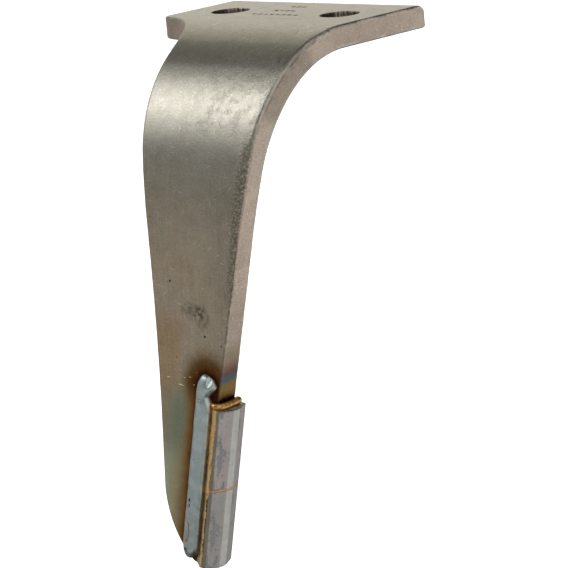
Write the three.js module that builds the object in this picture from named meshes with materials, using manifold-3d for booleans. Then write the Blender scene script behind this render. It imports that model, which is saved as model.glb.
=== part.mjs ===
// A carbide-tipped knife tine of a power harrow, hanging from the face that bolts to the rotor.
// Millimetres, +Z up. The origin is on the flange's top face, midway between the two bolt holes.
// +X runs along the hole line to the leading edge, and the blade bends down on the -Y side.

import * as THREE from "three";
import { mergeVertices } from "three/addons/utils/BufferGeometryUtils.js";
import Module from "manifold-3d";

// The bar and its bolting flange. Its free edge is rolled over at the top.
const BAR_THICKNESS = 12;
const EDGE_ROUNDING = 1.2;
const HOLE_DIAMETER = 20;
const HOLE_PITCH = 76.5;
const HOLE_SIDES = 48;
const FLANGE_LEFT = -66.6;
const FLANGE_RIGHT = 64.2;
const FLANGE_CORNER = 2;
const ROLL_OVER_LENGTH = 5.5;
const ROLL_OVER_DROP = 7;
const FREE_EDGE_ROUNDING = 1.5;

// Places along the bar, all measured along its outer face from the line through the bolt holes.
// The ear stands out on the left and ends in a hollow fillet; then the blade tapers to its foot.
const FREE_EDGE = -36.2;
const EAR_FRONT = 24;
const EAR_CORNER = 6;
const EAR_FILLET = 46.5;
const EAR_FILLET_X = -68.3;
const EAR_FILLET_S = 70.4;
const TAPER_START = 63.9;
const TAPER_END = 257.7;
const TAPER_IN = 14.1; // how far the trailing edge comes in over the taper
const TAPER_POWER = 1.8;
const TRAILING_EDGE = -7.9;
const FOOT_START = 289;
const FOOT_RADIUS = 48.6;
const BLADE_END = 334;
const RAKE_START = 95.1;
const RAKE_BLEND = 15.8;
const RAKE_SLOPE = 0.208;

// The bend: a tight arc, then a slack one, then straight.
const BEND_START = 26.4;
const BEND_RADIUS = 70.9;
const BEND_ANGLE = THREE.MathUtils.degToRad(79);
const SLACK_RADIUS = 307;
const SLACK_ANGLE = THREE.MathUtils.degToRad(6.4);

// The tip. Its frame stands in the notch's inner corner, in the middle of the bar's thickness:
// X forward, Y through the bar to its inner face, Z up along the notch's floor.
const NOTCH_X = 28.2;
const NOTCH_S = 243.8;
const TIP_RAKE = THREE.MathUtils.degToRad(10.2);
const TIP_SKEW = 0.065; // the ends rise this much for each millimetre towards the inner face
const TIP_LENGTH = 84.5;
const GAP = 0.3; // between neighbouring pieces
const CARRIER_FRONT = 5.2;
const CARRIER_BACK_HALF_WIDTH = 6.3; // it flares from the bar's thickness to the plates' width
const CARRIER_FRONT_HALF_WIDTH = 9.2;
const BRAZE_THICKNESS = 1;
const SEAM_THICKNESS = 0.6;
const PLATE_SHOULDER = 9.2;
const PLATE_HALF_WIDTH = 9.4;
const PLATE_BACK_SETBACK = 0.2; // the plates are this much narrower at their backs
const NOSE_FRONT = 12.4;
const NOSE_HALF_FLAT = 2.1;
const TOP_FILLET_RISE = 3.8;
const TOP_FILLET_HALF_WIDTH = 7.4;
const TOP_FILLET_CREST = 0.5; // its thickness at the top, against the leading edge
const TOP_FILLET_LIP = 0.35; // its height at the front
const TOP_FILLET_SETBACK = 0.4; // from the plates' front
const TOP_FILLET_HOLLOW_X = 1; // the curve's turning point, from the leading edge and from the plates
const TOP_FILLET_HOLLOW_Z = 0.9;
const TOP_FILLET_SEGMENTS = 10;

// The two weld beads between the blade's faces and the carrier.
const BEAD_TOP = 14;
const BEAD_TOE = -9.6;
const BEAD_LAP = 2.6;
const BEAD_HEIGHT = 3.9;
const BEAD_EDGE_HEIGHT = 0.6;
const BEAD_END_LENGTH = 9;
const BEAD_END_WIDTH = 0.3; // share of the bead's width at its very ends
const BEAD_FOOT_CLEARANCE = 1.5; // from the tip's foot
const BEAD_COLUMNS = 8;
const BEAD_ROWS = 24;

const CUTTER_SIZE = 120; // larger than all that the notch's and the foot's boxes have to cut
const BAR_GRID = 3; // the columns and layers of the bar's section: an edge rounding, the middle, another

const steel = new THREE.MeshStandardMaterial({ color: 0x8f8a82, roughness: 0.45, metalness: 0.9 });
const carrierSteel = new THREE.MeshStandardMaterial({ color: 0x5c5340, roughness: 0.6, metalness: 0.7 });
const carbide = new THREE.MeshStandardMaterial({ color: 0x857c7a, roughness: 0.5, metalness: 0.6 });
const braze = new THREE.MeshStandardMaterial({ color: 0xb5823f, roughness: 0.4, metalness: 0.9 });
const weld = new THREE.MeshStandardMaterial({ color: 0x7f8f94, roughness: 0.4, metalness: 0.8 });

const wasm = await Module();
wasm.setup();

// Count evenly spaced values after from, up to and including to.
function steps(from, to, count) {
  return Array.from({ length: count }, (_, i) => from + ((to - from) * (i + 1)) / count);
}

// A box whose grid of corners is moved by place(u, v, w), each from 0 to 1.
function shapedBox(columns, rows, layers, place) {
  const box = new THREE.BoxGeometry(1, 1, 1, columns, rows, layers);
  const corners = box.attributes.position;
  const at = new THREE.Vector3();
  for (let i = 0; i < corners.count; i++) {
    at.fromBufferAttribute(corners, i);
    place(at.addScalar(0.5));
    corners.setXYZ(i, at.x, at.y, at.z);
  }
  return box;
}

function toSolid(geometry) {
  const bare = geometry.index ? geometry.toNonIndexed() : geometry.clone();
  bare.deleteAttribute("normal");
  bare.deleteAttribute("uv");
  const merged = mergeVertices(bare, 1e-4);
  const vertProperties = merged.attributes.position.array;
  const triVerts = new Uint32Array(merged.index.array);
  return new wasm.Manifold(new wasm.Mesh({ numProp: 3, vertProperties, triVerts }));
}

function toGeometry(solid) {
  const mesh = solid.getMesh();
  const geometry = new THREE.BufferGeometry();
  geometry.setAttribute("position", new THREE.BufferAttribute(mesh.vertProperties, mesh.numProp));
  geometry.setIndex(new THREE.BufferAttribute(mesh.triVerts, 1));
  geometry.computeVertexNormals();
  return geometry;
}

function cut(geometry, cutters) {
  return toGeometry(cutters.reduce((left, cutter) => left.subtract(toSolid(cutter)), toSolid(geometry)));
}

// How far a round corner draws the outline in, at this depth into the corner.
function cornerInset(radius, depth) {
  const inside = THREE.MathUtils.clamp(depth, 0, radius);
  return radius - Math.sqrt(radius * radius - inside * inside);
}

// Turns a place on the flat bar into the bent one: x across, s along the outer face, t into the bar.
function onBar(x, s, t) {
  const flat = Math.min(s, BEND_START);
  const slackStart = BEND_START + BEND_RADIUS * BEND_ANGLE;
  const tight = THREE.MathUtils.clamp((s - BEND_START) / BEND_RADIUS, 0, BEND_ANGLE);
  const slack = THREE.MathUtils.clamp((s - slackStart) / SLACK_RADIUS, 0, SLACK_ANGLE);
  const angle = tight + slack;
  const straight = s - flat - BEND_RADIUS * tight - SLACK_RADIUS * slack;
  const out =
    flat +
    BEND_RADIUS * Math.sin(tight) +
    SLACK_RADIUS * (Math.sin(angle) - Math.sin(tight)) +
    straight * Math.cos(angle);
  const down =
    BEND_RADIUS * (1 - Math.cos(tight)) +
    SLACK_RADIUS * (Math.cos(tight) - Math.cos(angle)) +
    straight * Math.sin(angle);
  return new THREE.Vector3(x, t * Math.sin(angle) - out, -down - t * Math.cos(angle));
}

function leadingEdge(s) {
  const raked = RAKE_BLEND * Math.log1p(Math.exp((s - RAKE_START) / RAKE_BLEND));
  return FLANGE_RIGHT - RAKE_SLOPE * raked - cornerInset(FLANGE_CORNER, FREE_EDGE + FLANGE_CORNER - s);
}

function trailingEdge(s) {
  if (s < EAR_FRONT) {
    const freeCorner = cornerInset(FLANGE_CORNER, FREE_EDGE + FLANGE_CORNER - s);
    return FLANGE_LEFT + freeCorner + cornerInset(EAR_CORNER, s - EAR_FRONT + EAR_CORNER);
  }
  if (s < TAPER_START) {
    const fillet = EAR_FILLET_X + Math.sqrt(Math.max(0, EAR_FILLET ** 2 - (EAR_FILLET_S - s) ** 2));
    return Math.max(fillet, FLANGE_LEFT + EAR_CORNER);
  }
  if (s < FOOT_START) {
    const left = Math.max(0, 1 - (s - TAPER_START) / (TAPER_END - TAPER_START));
    return TRAILING_EDGE - TAPER_IN * left ** TAPER_POWER;
  }
  return TRAILING_EDGE + cornerInset(FOOT_RADIUS, s - FOOT_START);
}

// How deep the top face lies under the bar's outer face where the free edge is rolled over.
function rollOver(s) {
  const share = THREE.MathUtils.clamp((FREE_EDGE + ROLL_OVER_LENGTH - s) / ROLL_OVER_LENGTH, 0, 1);
  return ROLL_OVER_DROP * (1 - Math.sqrt(1 - share * share));
}

// Where the bar's cross-sections stand: close together round its corners, the bend and the foot.
const bendEnd = BEND_START + BEND_RADIUS * BEND_ANGLE;
const sections = [
  FREE_EDGE,
  ...steps(FREE_EDGE, FREE_EDGE + FLANGE_CORNER, 4),
  ...steps(FREE_EDGE + FLANGE_CORNER, FREE_EDGE + ROLL_OVER_LENGTH, 4),
  ...steps(FREE_EDGE + ROLL_OVER_LENGTH, EAR_FRONT - EAR_CORNER, 2),
  ...steps(EAR_FRONT - EAR_CORNER, EAR_FRONT, 6),
  ...steps(EAR_FRONT, BEND_START, 4),
  ...steps(BEND_START, TAPER_START, 10),
  ...steps(TAPER_START, bendEnd, 13),
  ...steps(bendEnd, TAPER_END, 12),
  FOOT_START,
  ...steps(FOOT_START, BLADE_END, 10),
];

// The whole bar with its edges rounded, before the holes and the notch are cut.
function barGeometry() {
  const last = sections.length - 1;
  const inset = (index, corner) => {
    if (index % BAR_GRID !== 0) return EDGE_ROUNDING;
    return corner ? EDGE_ROUNDING * (1 - Math.SQRT1_2) : 0;
  };
  return shapedBox(BAR_GRID, BAR_GRID, last, (at) => {
    const s = sections[Math.round(at.z * last)];
    const column = Math.round(at.x * BAR_GRID);
    const layer = Math.round(at.y * BAR_GRID);
    const corner = column % BAR_GRID === 0 && layer % BAR_GRID === 0;
    const across = inset(column, corner);
    const deep = inset(layer, corner);
    const x = column < 2 ? trailingEdge(s) + across : leadingEdge(s) - across;
    const inner = BAR_THICKNESS - cornerInset(FREE_EDGE_ROUNDING, FREE_EDGE + FREE_EDGE_ROUNDING - s);
    const t = layer < 2 ? inner - deep : rollOver(s) + deep;
    at.copy(onBar(x, s, t));
  });
}

function boltHole(x) {
  const radius = HOLE_DIAMETER / 2;
  const hole = new THREE.CylinderGeometry(radius, radius, 4 * BAR_THICKNESS, HOLE_SIDES);
  return hole.rotateX(Math.PI / 2).translate(x, 0, 0);
}

// The tip's frame, turned to the blade's slope and to the rake of the leading edge.
function placeTip(tip) {
  const middle = onBar(NOTCH_X, NOTCH_S, BAR_THICKNESS / 2);
  const through = onBar(0, NOTCH_S, 1).sub(onBar(0, NOTCH_S, 0));
  const upBlade = onBar(0, NOTCH_S, 0).sub(onBar(0, NOTCH_S + 1, 0));
  const turned = new THREE.Matrix4().makeBasis(through.clone().cross(upBlade), through, upBlade);
  tip.position.copy(middle);
  tip.quaternion.setFromRotationMatrix(turned);
  tip.rotateY(TIP_RAKE);
  tip.updateMatrix();
}

// Tilts a piece's ends to the tip's skew and leaves its sides upright.
function skewed(geometry) {
  const shear = new THREE.Matrix4().set(1, 0, 0, 0, 0, 1, 0, 0, 0, TIP_SKEW, 1, 0, 0, 0, 0, 1);
  return geometry.applyMatrix4(shear);
}

// A prism of this outline, given as its corners on one side of the bar's middle plane, between two heights.
function tipPrism(corners, bottom, top) {
  const outline = new THREE.Shape();
  outline.setFromPoints([
    ...corners.map(([x, y]) => new THREE.Vector2(x, -y)),
    ...corners.map(([x, y]) => new THREE.Vector2(x, y)).reverse(),
  ]);
  const prism = new THREE.ExtrudeGeometry(outline, { depth: top - bottom, bevelEnabled: false });
  return skewed(prism.translate(0, 0, bottom));
}

const brazeBack = CARRIER_FRONT + GAP;
const brazeFront = brazeBack + BRAZE_THICKNESS;
const plateBack = brazeFront + GAP;
const plateOutline = [
  [plateBack, PLATE_HALF_WIDTH - PLATE_BACK_SETBACK],
  [PLATE_SHOULDER, PLATE_HALF_WIDTH],
  [NOSE_FRONT, NOSE_HALF_FLAT],
];
const tipTop = -GAP;
const tipFoot = -TIP_LENGTH;
const seamMiddle = (tipTop + tipFoot) / 2;
const plateEnd = SEAM_THICKNESS / 2 + GAP;

function carrier() {
  const outline = [
    [GAP, CARRIER_BACK_HALF_WIDTH],
    [CARRIER_FRONT, CARRIER_FRONT_HALF_WIDTH],
  ];
  return tipPrism(outline, tipFoot, tipTop);
}

function carbidePlate(bottom, top) {
  return tipPrism(plateOutline, bottom, top);
}

function brazeLayer(bottom, top) {
  const outline = [
    [brazeBack, CARRIER_FRONT_HALF_WIDTH],
    [brazeFront, CARRIER_FRONT_HALF_WIDTH],
  ];
  return tipPrism(outline, bottom, top);
}

// The braze drawn up against the blade's leading edge, with a hollow face.
function topFillet() {
  const back = leadingEdgeAtNotch() + GAP;
  const front = NOSE_FRONT - TOP_FILLET_SETBACK;
  const crest = back + TOP_FILLET_CREST;
  const profile = new THREE.Shape();
  profile.moveTo(back, 0);
  profile.lineTo(front, 0);
  profile.lineTo(front, TOP_FILLET_LIP);
  profile.quadraticCurveTo(back + TOP_FILLET_HOLLOW_X, TOP_FILLET_HOLLOW_Z, crest, TOP_FILLET_RISE);
  profile.lineTo(back, TOP_FILLET_RISE);
  const width = 2 * TOP_FILLET_HALF_WIDTH;
  const sweep = { depth: width, bevelEnabled: false, curveSegments: TOP_FILLET_SEGMENTS };
  const fillet = new THREE.ExtrudeGeometry(profile, sweep);
  return skewed(fillet.rotateX(Math.PI / 2).translate(0, width / 2, 0));
}

// One bead, with a rounded crest and narrow ends, that runs up onto the carrier's flank.
function weldBead(side) {
  const bottom = tipFoot + BEAD_FOOT_CLEARANCE;
  const bead = shapedBox(BEAD_COLUMNS, 1, BEAD_ROWS, (at) => {
    const z = THREE.MathUtils.lerp(bottom, BEAD_TOP, at.z);
    const fromEnd = Math.min(1, Math.min(z - bottom, BEAD_TOP - z) / BEAD_END_LENGTH);
    const fullness = Math.max(BEAD_END_WIDTH, Math.sqrt(1 - (1 - fromEnd) ** 2));
    const across = 2 * at.x - 1;
    const crest = BEAD_HEIGHT * Math.sqrt(1 - across ** 4) * Math.sqrt(fullness);
    const rise = side < 0 ? 1 - at.y : at.y;
    const height = rise * Math.max(BEAD_EDGE_HEIGHT, crest);
    at.x = (BEAD_TOE + BEAD_LAP) / 2 + (across * fullness * (BEAD_LAP - BEAD_TOE)) / 2;
    at.y = side * (BAR_THICKNESS / 2 + GAP + height);
    at.z = z;
  });
  const clearance = [
    [0, CARRIER_BACK_HALF_WIDTH + GAP],
    [CARRIER_FRONT, CARRIER_FRONT_HALF_WIDTH + 2 * GAP],
  ];
  return cut(bead, [tipPrism(clearance, 2 * tipFoot, 0)]);
}

// How far the blade's leading edge stands forward of the notch's floor, at the notch's shoulder.
function leadingEdgeAtNotch() {
  return (leadingEdge(NOTCH_S) - NOTCH_X) / Math.cos(TIP_RAKE);
}

function tineBody(tip) {
  const box = new THREE.BoxGeometry(CUTTER_SIZE, CUTTER_SIZE, CUTTER_SIZE);
  const notch = box.clone().translate(CUTTER_SIZE / 2, 0, -CUTTER_SIZE / 2);
  const foot = box.clone().translate(0, 0, tipFoot - CUTTER_SIZE / 2);
  const tipCuts = [notch, foot].map((cutter) => skewed(cutter).applyMatrix4(tip.matrix));
  return cut(barGeometry(), [boltHole(-HOLE_PITCH / 2), boltHole(HOLE_PITCH / 2), ...tipCuts]);
}

function addPiece(group, name, geometry, material) {
  const mesh = new THREE.Mesh(geometry, material);
  mesh.name = name;
  group.add(mesh);
}

const tine = new THREE.Group();
const tip = new THREE.Group();
tine.add(tip);
placeTip(tip);
addPiece(tine, "tine_body", tineBody(tip), steel);
addPiece(tip, "tip_carrier", carrier(), carrierSteel);
addPiece(tip, "carbide_plate_upper", carbidePlate(seamMiddle + plateEnd, tipTop), carbide);
addPiece(tip, "carbide_plate_lower", carbidePlate(tipFoot, seamMiddle - plateEnd), carbide);
addPiece(tip, "braze_layer_upper", brazeLayer(seamMiddle + GAP / 2, tipTop), braze);
addPiece(tip, "braze_layer_lower", brazeLayer(tipFoot, seamMiddle - GAP / 2), braze);
const seamBottom = seamMiddle - SEAM_THICKNESS / 2;
addPiece(tip, "braze_seam_between", tipPrism(plateOutline, seamBottom, seamBottom + SEAM_THICKNESS), braze);
addPiece(tip, "braze_fillet_top", topFillet(), braze);
addPiece(tip, "weld_bead_outer", weldBead(-1), weld);
addPiece(tip, "weld_bead_inner", weldBead(1), weld);

export default tine;
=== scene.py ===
import math

import bpy
import numpy as np
from mathutils import Matrix, Vector


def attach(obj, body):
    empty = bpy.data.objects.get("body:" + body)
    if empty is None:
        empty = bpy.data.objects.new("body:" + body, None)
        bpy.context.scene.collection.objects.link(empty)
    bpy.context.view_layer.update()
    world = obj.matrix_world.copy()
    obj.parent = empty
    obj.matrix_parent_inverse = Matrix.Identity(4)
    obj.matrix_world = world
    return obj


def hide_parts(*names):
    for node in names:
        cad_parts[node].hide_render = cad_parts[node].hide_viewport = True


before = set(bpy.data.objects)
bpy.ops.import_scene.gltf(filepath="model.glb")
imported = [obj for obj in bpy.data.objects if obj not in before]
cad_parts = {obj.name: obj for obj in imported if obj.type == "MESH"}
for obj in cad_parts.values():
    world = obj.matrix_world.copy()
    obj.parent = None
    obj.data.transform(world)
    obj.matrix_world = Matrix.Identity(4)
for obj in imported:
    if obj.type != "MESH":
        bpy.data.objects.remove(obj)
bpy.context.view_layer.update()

MM = 0.001

# The bar, in millimetres: x across, s along the outer face, t into the bar.
BAR = 12.0
HALF_BAR = BAR / 2
HOLE_RADIUS = 10.0
HOLE_X = 38.25
FLANGE_LEFT = -66.6
FLANGE_RIGHT = 64.2
FLANGE_CORNER = 2.0
ROLL_OVER_LENGTH = 5.5
ROLL_OVER_DROP = 7.0
FREE_EDGE_ROUNDING = 1.5
FREE_EDGE = -36.2
EAR_FRONT = 24.0
EAR_CORNER = 6.0
EAR_FILLET = 46.5
EAR_FILLET_X = -68.3
EAR_FILLET_S = 70.4
TAPER_START = 63.9
TAPER_END = 257.7
TAPER_IN = 14.1
TAPER_POWER = 1.8
TRAILING_EDGE = -7.9
FOOT_START = 289.0
FOOT_RADIUS = 48.6
BLADE_END = 333.5
RAKE_START = 95.1
RAKE_BLEND = 15.8
RAKE_SLOPE = 0.208
BEND_START = 26.4
BEND_RADIUS = 70.9
BEND_ANGLE = math.radians(79)
SLACK_RADIUS = 307.0
SLACK_ANGLE = math.radians(6.4)
BEND_END = BEND_START + BEND_RADIUS * BEND_ANGLE
SLACK_END = BEND_END + SLACK_RADIUS * SLACK_ANGLE
FULL_ANGLE = BEND_ANGLE + SLACK_ANGLE

# The tip's own frame: X forward, Y to the bar's inner face, Z up along the notch's floor.
NOTCH_X = 28.2
NOTCH_S = 243.8
TIP_RAKE = math.radians(10.2)
TIP_SKEW = 0.065
TIP_FOOT = -84.5
SEAM_Z = -42.4
CARRIER_FRONT = 5.2
PLATE_BACK = 6.8
PLATE_SHOULDER = 9.2
NOSE_FRONT = 12.4
NOSE_HALF_FLAT = 2.1


# ---------------------------------------------------------------- numbers and noise
def clip01(value):
    return np.clip(value, 0.0, 1.0)


def smooth(low, high, value):
    share = clip01((value - low) / (high - low))
    return share * share * (3 - 2 * share)


def lattice(seed):
    return np.random.RandomState(seed).rand(256, 256) * 2 - 1


LATTICES = [lattice(seed) for seed in range(8)]


def noise(x, y, seed=0):
    """Smooth value noise, from -1 to 1, one cell to a unit."""
    table = LATTICES[seed % 8]
    xi, yi = np.floor(x).astype(int), np.floor(y).astype(int)
    fx, fy = x - xi, y - yi
    fx, fy = fx * fx * (3 - 2 * fx), fy * fy * (3 - 2 * fy)
    xi, yi = xi + 37 * seed, yi + 91 * seed
    a, b = table[xi % 256, yi % 256], table[(xi + 1) % 256, yi % 256]
    c, d = table[xi % 256, (yi + 1) % 256], table[(xi + 1) % 256, (yi + 1) % 256]
    return (a * (1 - fx) + b * fx) * (1 - fy) + (c * (1 - fx) + d * fx) * fy


def rough(x, y, seed=0, octaves=3):
    total = 0.0
    for octave in range(octaves):
        total = total + noise(x * 2**octave, y * 2**octave, seed + octave) / 2**octave
    return total / 1.6


# ---------------------------------------------------------------- the bent bar
def on_bar(x, s, t):
    """Where a place on the bar lies in space."""
    flat = np.minimum(s, BEND_START)
    tight = np.clip((s - BEND_START) / BEND_RADIUS, 0, BEND_ANGLE)
    slack = np.clip((s - BEND_END) / SLACK_RADIUS, 0, SLACK_ANGLE)
    angle = tight + slack
    straight = s - flat - BEND_RADIUS * tight - SLACK_RADIUS * slack
    sine, cosine = np.sin(angle), np.cos(angle)
    out = flat + BEND_RADIUS * np.sin(tight) + SLACK_RADIUS * (sine - np.sin(tight)) + straight * cosine
    down = BEND_RADIUS * (1 - np.cos(tight)) + SLACK_RADIUS * (np.cos(tight) - cosine) + straight * sine
    return np.stack([x + 0 * s, t * sine - out, -down - t * cosine], -1)


def off_bar(points):
    """The inverse of on_bar, for points in or near the bar: x, s and t."""
    x, y, z = points[:, 0], -points[:, 1], -points[:, 2]
    # The tight arc turns about (BEND_START, BEND_RADIUS), the slack arc about a place beyond that.
    out, down = y - BEND_START, BEND_RADIUS - z
    angle = np.arctan2(out, down)
    in_tight = (y > BEND_START) & (angle > 0)
    s = np.where(in_tight, BEND_START + BEND_RADIUS * angle, y)
    t = np.where(in_tight, BEND_RADIUS - np.hypot(out, down), z)
    in_slack = (angle > BEND_ANGLE) & in_tight
    out = out - (BEND_RADIUS - SLACK_RADIUS) * math.sin(BEND_ANGLE)
    down = down + (SLACK_RADIUS - BEND_RADIUS) * math.cos(BEND_ANGLE)
    s = np.where(in_slack, BEND_END + SLACK_RADIUS * (np.arctan2(out, down) - BEND_ANGLE), s)
    t = np.where(in_slack, SLACK_RADIUS - np.hypot(out, down), t)
    end = on_bar(np.array(0.0), np.array(SLACK_END), np.array(0.0))
    out, down = y + end[1], z + end[2]
    along = out * math.cos(FULL_ANGLE) + down * math.sin(FULL_ANGLE)
    in_straight = in_slack & (along > 0)
    s = np.where(in_straight, SLACK_END + along, s)
    t = np.where(in_straight, down * math.cos(FULL_ANGLE) - out * math.sin(FULL_ANGLE), t)
    return x, s, t


def corner_inset(radius, depth):
    """How far a round corner draws an outline in, at this depth into the corner."""
    inside = np.clip(depth, 0, radius)
    return radius - np.sqrt(radius * radius - inside * inside)


def leading_edge(s):
    raked = RAKE_BLEND * np.logaddexp(0, (s - RAKE_START) / RAKE_BLEND)
    return FLANGE_RIGHT - RAKE_SLOPE * raked - corner_inset(FLANGE_CORNER, FREE_EDGE + FLANGE_CORNER - s)


def trailing_edge(s):
    s = np.asarray(s, float)
    ear = FLANGE_LEFT + corner_inset(FLANGE_CORNER, FREE_EDGE + FLANGE_CORNER - s)
    ear = ear + corner_inset(EAR_CORNER, s - EAR_FRONT + EAR_CORNER)
    fillet = EAR_FILLET_X + np.sqrt(np.maximum(0, EAR_FILLET**2 - (EAR_FILLET_S - s) ** 2))
    fillet = np.maximum(fillet, FLANGE_LEFT + EAR_CORNER)
    left = clip01(1 - (s - TAPER_START) / (TAPER_END - TAPER_START))
    taper = TRAILING_EDGE - TAPER_IN * left**TAPER_POWER
    foot = TRAILING_EDGE + corner_inset(FOOT_RADIUS, s - FOOT_START)
    blade = np.where(s < FOOT_START, taper, foot)
    return np.where(s < EAR_FRONT, ear, np.where(s < TAPER_START, fillet, blade))


# ---------------------------------------------------------------- the tip's frame
THROUGH = np.array([0, math.sin(FULL_ANGLE), -math.cos(FULL_ANGLE)])
UP = np.array([0, math.cos(FULL_ANGLE), math.sin(FULL_ANGLE)])
ACROSS = np.array([1.0, 0, 0])
TIP_X = math.cos(TIP_RAKE) * ACROSS - math.sin(TIP_RAKE) * UP
TIP_Z = math.sin(TIP_RAKE) * ACROSS + math.cos(TIP_RAKE) * UP
TIP_ORIGIN = on_bar(np.array(NOTCH_X), np.array(NOTCH_S), np.array(HALF_BAR))


def from_tip(points, skew=TIP_SKEW):
    p = np.asarray(points, float)
    up = p[:, 2] + skew * p[:, 1]
    return TIP_ORIGIN + p[:, :1] * TIP_X + p[:, 1:2] * THROUGH + up[:, None] * TIP_Z


def to_tip(points):
    p = points - TIP_ORIGIN
    return np.stack([p @ TIP_X, p @ THROUGH, p @ TIP_Z], -1)


# ---------------------------------------------------------------- meshes
def new_object(name, points, faces, sharp_degrees=None):
    """A mesh object from points in millimetres."""
    mesh = bpy.data.meshes.new(name)
    mesh.from_pydata((np.asarray(points) * MM).tolist(), [], faces)
    mesh.update()
    obj = bpy.data.objects.new(name, mesh)
    bpy.context.scene.collection.objects.link(obj)
    shade(obj, sharp_degrees)
    return obj


def shade(obj, sharp_degrees):
    mesh = obj.data
    mesh.polygons.foreach_set("use_smooth", [True] * len(mesh.polygons))
    if sharp_degrees:
        mesh.set_sharp_from_angle(angle=math.radians(sharp_degrees))
    mesh.update()


def mesh_points(obj):
    points = np.zeros(len(obj.data.vertices) * 3)
    obj.data.vertices.foreach_get("co", points)
    return points.reshape(-1, 3) / MM


def store(obj, name, values):
    """A value or a vector on each vertex, for the materials to read."""
    values = np.asarray(values, np.float32)
    vector = values.ndim == 2
    attribute = obj.data.attributes.new(name, "FLOAT_VECTOR" if vector else "FLOAT", "POINT")
    attribute.data.foreach_set("vector" if vector else "value", values.ravel())


def loft(rings, close_start=True, close_end=True, start=0):
    """Faces between equal closed rings of points, numbered one ring after another."""
    count, size = rings
    faces = []
    for i in range(count - 1):
        a, b = start + i * size, start + (i + 1) * size
        faces += [(a + j, a + (j + 1) % size, b + (j + 1) % size, b + j) for j in range(size)]
    if close_start:
        faces.append(tuple(start + j for j in reversed(range(size))))
    if close_end:
        faces.append(tuple(start + (count - 1) * size + j for j in range(size)))
    return faces


def subtract(obj, cutter):
    modifier = obj.modifiers.new("cut", "BOOLEAN")
    modifier.operation = "DIFFERENCE"
    modifier.solver = "EXACT"
    modifier.object = cutter
    bpy.context.view_layer.update()
    evaluated = obj.evaluated_get(bpy.context.evaluated_depsgraph_get())
    mesh = bpy.data.meshes.new_from_object(evaluated)
    obj.modifiers.clear()
    old = obj.data
    obj.data = mesh
    bpy.data.meshes.remove(old)
    bpy.data.objects.remove(cutter)


# ---------------------------------------------------------------- the tine body
EDGE_STEPS = [0.0, 0.1, 0.36, 0.76, 1.25, 2.0]
PATCH_CORE = 9  # columns and rows from a hole's centre to its rim
PATCH_REACH = 13  # and to where the grid runs straight again
PATCH_SPACING = 0.9
HOLE_RIM = 0.5
COLUMNS_LEFT, COLUMNS_BETWEEN, COLUMNS_RIGHT = 20, 58, 18
SIDE_LAYERS = 9
MARKED_X, MARKED_S, MARKED_HALF = 25.5, -6.0, 23.5


def body_columns():
    """Each middle column's share of the way across, with a column through each hole's middle."""
    left, right = FLANGE_LEFT + EDGE_STEPS[-1], FLANGE_RIGHT - EDGE_STEPS[-1]
    places = [left]
    for low, high, count in (
        (left, -HOLE_X, COLUMNS_LEFT), (-HOLE_X, HOLE_X, COLUMNS_BETWEEN), (HOLE_X, right, COLUMNS_RIGHT),
    ):
        places += [low + (high - low) * (i + 1) / count for i in range(count)]
    return (np.array(places) - left) / (right - left)


def body_stations():
    """Places along the bar, about evenly spaced along both of its edges."""
    grain = 0.02
    fine = np.arange(FREE_EDGE, BLADE_END, grain)
    reach = np.maximum(np.hypot(np.gradient(trailing_edge(fine), fine), 1), 1)
    step = np.where(fine < -18, 1.2, np.where(fine < 18, 1.32, np.where(fine < 130, 0.85, 1.05)))
    step = np.minimum(step, 0.1 + np.minimum(np.abs(fine - FREE_EDGE), 40) * 0.5)
    step = np.minimum(step, 0.22 + np.abs(fine - EAR_FRONT) * 0.35)
    density = np.minimum(reach, 3.0) / step
    total = np.concatenate([[0], np.cumsum((density[1:] + density[:-1]) / 2 * grain)])
    return np.interp(np.linspace(0, total[-1], int(total[-1])), total, fine)


def edge_drop(distance, along, deep):
    """How far an elliptical edge rounding lies below the face, at this distance from the edge."""
    share = clip01(1 - distance / along)
    return deep * (1 - np.sqrt(1 - share * share))


def outline_distance(x, s, edge, stations):
    """The distance across and along the face to an edge's curve."""
    fine = np.interp(np.arange(0, len(stations) - 1, 0.34), np.arange(len(stations)), stations)
    curve_x = edge(fine)
    best = np.full(x.shape, 1e9)
    for i in range(x.shape[0]):
        near = np.abs(fine - s[i, 0]) < 14
        gap = np.hypot(x[i][:, None] - curve_x[near][None], s[i][:, None] - fine[near][None])
        best[i] = gap.min(1)
    return best


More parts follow.
